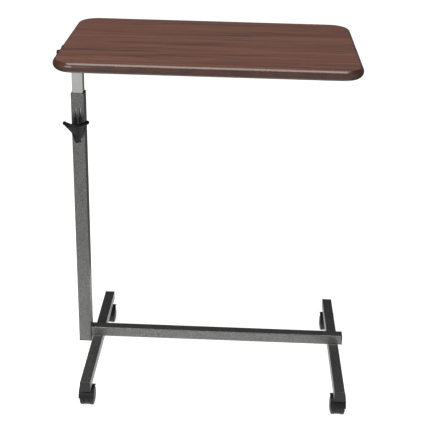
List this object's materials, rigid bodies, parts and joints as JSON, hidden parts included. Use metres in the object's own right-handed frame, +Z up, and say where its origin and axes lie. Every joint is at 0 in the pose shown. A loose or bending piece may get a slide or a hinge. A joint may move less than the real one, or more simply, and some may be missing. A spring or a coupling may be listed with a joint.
{
  "type": "overbed table",
  "caption": "Wheeled overbed table: a tilting, height-adjustable woodgrain top on a column at one end of a low steel base with swivel casters.",
  "frame": {"origin": "on the floor, under the middle of the whole table's outline", "axes": "+X along the top away from the column, +Y to the back, +Z up"},
  "size_m": [0.806, 0.506, 0.99],
  "materials": {
    "walnut_laminate": "dark walnut woodgrain laminate, satin",
    "edge_vinyl": "dark brown vinyl T-moulding, satin",
    "silver_vein_paint": "silver-vein powder coat",
    "satin_mast": "satin plated",
    "polished_rod": "hard chrome",
    "cylinder_paint": "black lacquer",
    "zinc_steel": "zinc plated",
    "black_plastic": "moulded, fine satin",
    "end_cap_plastic": "moulded, matte charcoal",
    "friction_rubber": "dense friction pad",
    "nylon": "natural nylon",
    "caster_plastic": "moulded nylon, satin",
    "caster_wheel": "hard nylon tread, semi-gloss"
  },
  "bodies": {
    "base": {"left_leg": "silver_vein_paint", "right_leg": "silver_vein_paint", "cross_bar": "silver_vein_paint", "outer_column": "silver_vein_paint", "leg_end_caps": "end_cap_plastic", "cross_bar_cap": "end_cap_plastic", "column_bottom_plug": "black_plastic", "column_top_bush": "black_plastic", "spring_seat": "zinc_steel", "gas_spring_rod": "polished_rod", "caster_sockets": "zinc_steel", "caster_stems": "zinc_steel", "lever_bracket": "zinc_steel", "lever_pivot_pin": "zinc_steel", "lever_spring": "zinc_steel"},
    "height_lever": {"height_lever_arm": "zinc_steel", "height_lever_paddle": "black_plastic"},
    "height_brake": {"height_brake_shoe": "friction_rubber"},
    "mast": {"inner_mast": "satin_mast", "mast_glide": "nylon", "gas_spring_cylinder": "cylinder_paint", "cylinder_pin": "zinc_steel", "top_beam": "zinc_steel", "beam_end_caps": "black_plastic"},
    "top": {"table_board": "walnut_laminate", "edge_moulding": "edge_vinyl", "saddle_liners": "nylon", "saddle_straps": "zinc_steel", "saddle_screws": "zinc_steel", "tilt_bracket": "zinc_steel", "tilt_bracket_screws": "zinc_steel", "tilt_spring": "zinc_steel"},
    "tilt_release": {"tilt_shaft": "zinc_steel", "tilt_handle": "black_plastic"},
    "tilt_brake": {"tilt_brake_shoe": "friction_rubber"},
    "caster_front_left": {"caster_hood_1": "caster_plastic", "caster_axle_1": "zinc_steel"},
    "wheel_front_left_left": {"caster_wheel_1a": "caster_wheel"},
    "wheel_front_left_right": {"caster_wheel_1b": "caster_wheel"},
    "caster_back_left": {"caster_hood_2": "caster_plastic", "caster_axle_2": "zinc_steel"},
    "wheel_back_left_left": {"caster_wheel_2a": "caster_wheel"},
    "wheel_back_left_right": {"caster_wheel_2b": "caster_wheel"},
    "caster_front_right": {"caster_hood_3": "caster_plastic", "caster_axle_3": "zinc_steel"},
    "wheel_front_right_left": {"caster_wheel_3a": "caster_wheel"},
    "wheel_front_right_right": {"caster_wheel_3b": "caster_wheel"},
    "caster_back_right": {"caster_hood_4": "caster_plastic", "caster_axle_4": "zinc_steel"},
    "wheel_back_right_left": {"caster_wheel_4a": "caster_wheel"},
    "wheel_back_right_right": {"caster_wheel_4b": "caster_wheel"}
  },
  "joints": [
    {"name": "height_slide", "type": "slide", "parent": "base", "child": "mast", "axis": [0, 0, 1], "range_m": [-0.07, 0.19]},
    {"name": "height_lever_pivot", "type": "hinge", "parent": "base", "child": "height_lever", "pos_m": [-0.353, -0.028, 0.743], "axis": [-1, 0, 0], "range_deg": [0, 16], "stiffness_Nm_per_rad": 0.6, "springref_deg": -20.05},
    {"name": "height_brake_release", "type": "slide", "parent": "base", "child": "height_brake", "axis": [0, -1, 0], "range_m": [0, 0.0006]},
    {"name": "top_tilt", "type": "hinge", "parent": "mast", "child": "top", "pos_m": [-0.353, 0.0012, 0.94965], "axis": [1, 0, 0], "range_deg": [-30, 30]},
    {"name": "tilt_handle_turn", "type": "hinge", "parent": "top", "child": "tilt_release", "pos_m": [-0.353, 0.031, 0.95], "axis": [-1, 0, 0], "range_deg": [0, 25], "stiffness_Nm_per_rad": 0.25, "springref_deg": -28.65},
    {"name": "tilt_brake_release", "type": "slide", "parent": "top", "child": "tilt_brake", "axis": [0, 1, 0], "range_m": [0, 0.0003]},
    {"name": "swivel_front_left", "type": "hinge", "parent": "base", "child": "caster_front_left", "pos_m": [-0.317, -0.219, 0.05], "axis": [0, 0, 1], "continuous": true},
    {"name": "roll_front_left_left", "type": "hinge", "parent": "caster_front_left", "child": "wheel_front_left_left", "pos_m": [-0.317, -0.213, 0.0275], "axis": [1, 0, 0], "continuous": true},
    {"name": "roll_front_left_right", "type": "hinge", "parent": "caster_front_left", "child": "wheel_front_left_right", "pos_m": [-0.317, -0.213, 0.0275], "axis": [1, 0, 0], "continuous": true},
    {"name": "swivel_back_left", "type": "hinge", "parent": "base", "child": "caster_back_left", "pos_m": [-0.317, 0.219, 0.05], "axis": [0, 0, 1], "continuous": true},
    {"name": "roll_back_left_left", "type": "hinge", "parent": "caster_back_left", "child": "wheel_back_left_left", "pos_m": [-0.317, 0.225, 0.0275], "axis": [1, 0, 0], "continuous": true},
    {"name": "roll_back_left_right", "type": "hinge", "parent": "caster_back_left", "child": "wheel_back_left_right", "pos_m": [-0.317, 0.225, 0.0275], "axis": [1, 0, 0], "continuous": true},
    {"name": "swivel_front_right", "type": "hinge", "parent": "base", "child": "caster_front_right", "pos_m": [0.378, -0.219, 0.05], "axis": [0, 0, 1], "continuous": true},
    {"name": "roll_front_right_left", "type": "hinge", "parent": "caster_front_right", "child": "wheel_front_right_left", "pos_m": [0.378, -0.213, 0.0275], "axis": [1, 0, 0], "continuous": true},
    {"name": "roll_front_right_right", "type": "hinge", "parent": "caster_front_right", "child": "wheel_front_right_right", "pos_m": [0.378, -0.213, 0.0275], "axis": [1, 0, 0], "continuous": true},
    {"name": "swivel_back_right", "type": "hinge", "parent": "base", "child": "caster_back_right", "pos_m": [0.378, 0.219, 0.05], "axis": [0, 0, 1], "continuous": true},
    {"name": "roll_back_right_left", "type": "hinge", "parent": "caster_back_right", "child": "wheel_back_right_left", "pos_m": [0.378, 0.225, 0.0275], "axis": [1, 0, 0], "continuous": true},
    {"name": "roll_back_right_right", "type": "hinge", "parent": "caster_back_right", "child": "wheel_back_right_right", "pos_m": [0.378, 0.225, 0.0275], "axis": [1, 0, 0], "continuous": true}
  ],
  "couplings": [
    {"joint": "height_brake_release", "follows": "height_lever_pivot", "m_per_rad": 0.0021056},
    {"joint": "tilt_brake_release", "follows": "tilt_handle_turn", "m_per_rad": 0.0006738}
  ]
}
